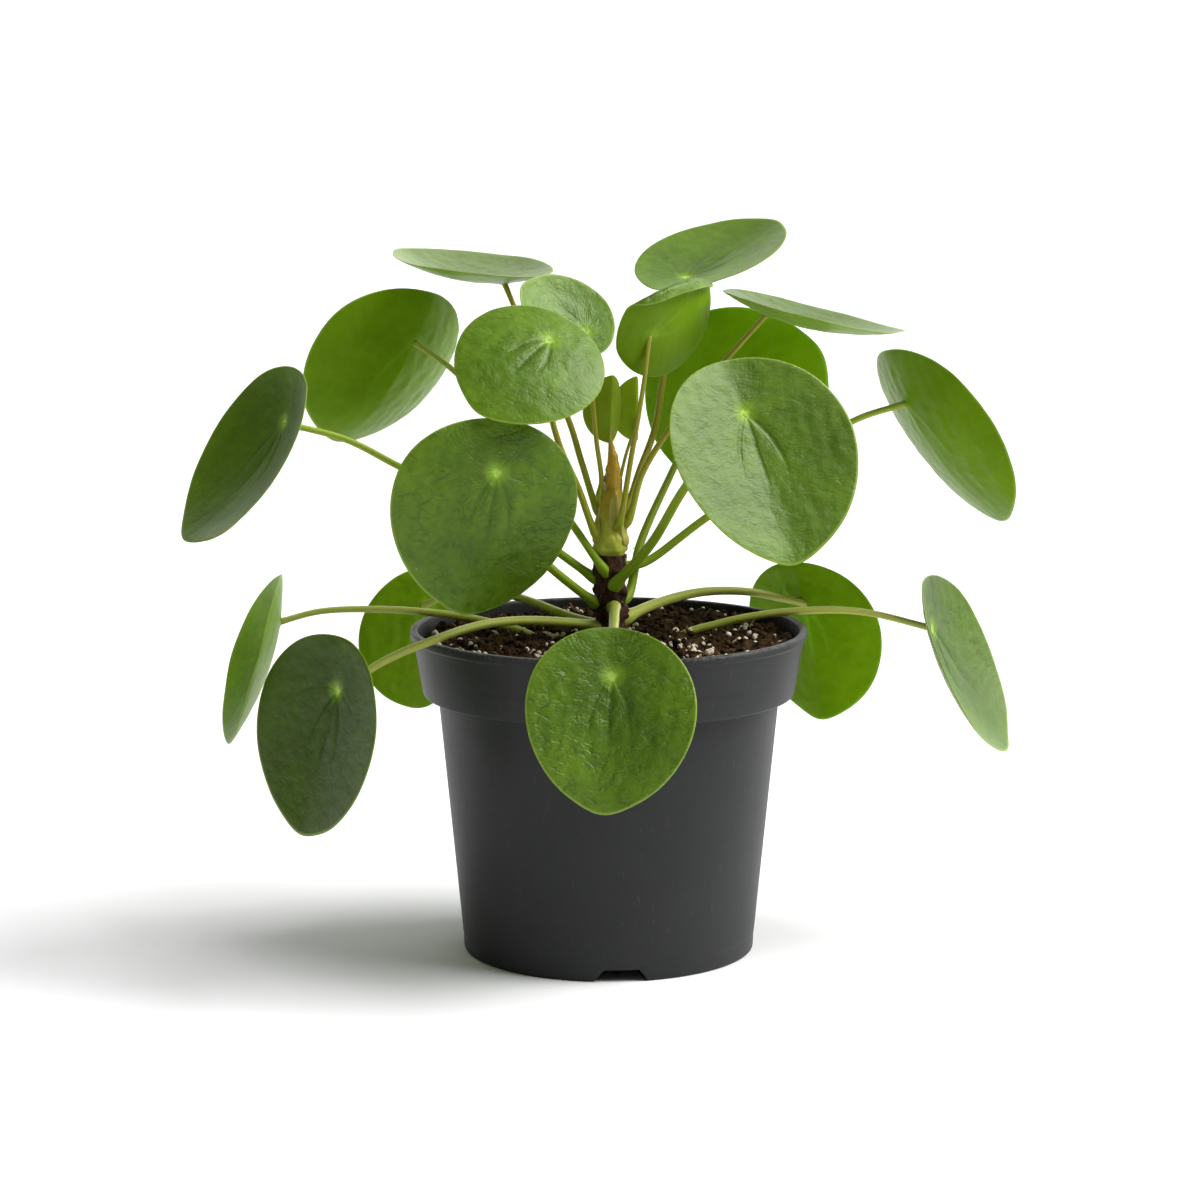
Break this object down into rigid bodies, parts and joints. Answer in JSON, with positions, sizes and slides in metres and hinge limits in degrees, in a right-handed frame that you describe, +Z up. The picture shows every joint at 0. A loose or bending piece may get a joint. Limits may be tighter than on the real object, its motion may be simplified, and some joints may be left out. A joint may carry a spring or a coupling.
{
  "type": "potted pilea plant",
  "caption": "Pilea plant with round coin-shaped leaves on long thin stalks, growing in soil in a tapered plastic nursery pot.",
  "frame": {"origin": "on the pot's axis, on the plane that its foot ring stands on", "axes": "+Z up along the pot's axis; +X to the right and -Y towards the viewer of the reference picture"},
  "size_m": [0.2504, 0.1646, 0.2192],
  "materials": {
    "pot_plastic": "satin charcoal moulded plastic",
    "soil_mix": "damp crumbly potting mix with pale perlite grains",
    "bark": "rough dark woody stem with leaf scars",
    "shoot_skin": "smooth waxy yellow-green",
    "bud_sheath": "dry papery orange-brown",
    "blade": "glossy quilted leaf, matte and lighter underneath",
    "stalk": "smooth pale green, browner near the shoot"
  },
  "bodies": {
    "root": {"pot": "pot_plastic", "soil": "soil_mix", "trunk": "bark", "shoot": "shoot_skin", "bud": "bud_sheath", "leaf_01_blade": "blade", "leaf_01_stalk": "stalk", "leaf_02_blade": "blade", "leaf_02_stalk": "stalk", "leaf_03_blade": "blade", "leaf_03_stalk": "stalk", "leaf_04_blade": "blade", "leaf_04_stalk": "stalk", "leaf_05_blade": "blade", "leaf_05_stalk": "stalk", "leaf_06_blade": "blade", "leaf_06_stalk": "stalk", "leaf_07_blade": "blade", "leaf_07_stalk": "stalk", "leaf_08_blade": "blade", "leaf_08_stalk": "stalk", "leaf_09_blade": "blade", "leaf_09_stalk": "stalk", "leaf_10_blade": "blade", "leaf_10_stalk": "stalk", "leaf_11_blade": "blade", "leaf_11_stalk": "stalk", "leaf_12_blade": "blade", "leaf_12_stalk": "stalk", "leaf_13_blade": "blade", "leaf_13_stalk": "stalk", "leaf_14_blade": "blade", "leaf_14_stalk": "stalk", "leaf_15_blade": "blade", "leaf_15_stalk": "stalk", "leaf_16_blade": "blade", "leaf_16_stalk": "stalk", "leaf_17_blade": "blade", "leaf_17_stalk": "stalk", "leaf_18_blade": "blade", "leaf_18_stalk": "stalk", "leaf_19_blade": "blade", "leaf_19_stalk": "stalk", "leaf_20_blade": "blade", "leaf_20_stalk": "stalk"}
  },
  "joints": []
}
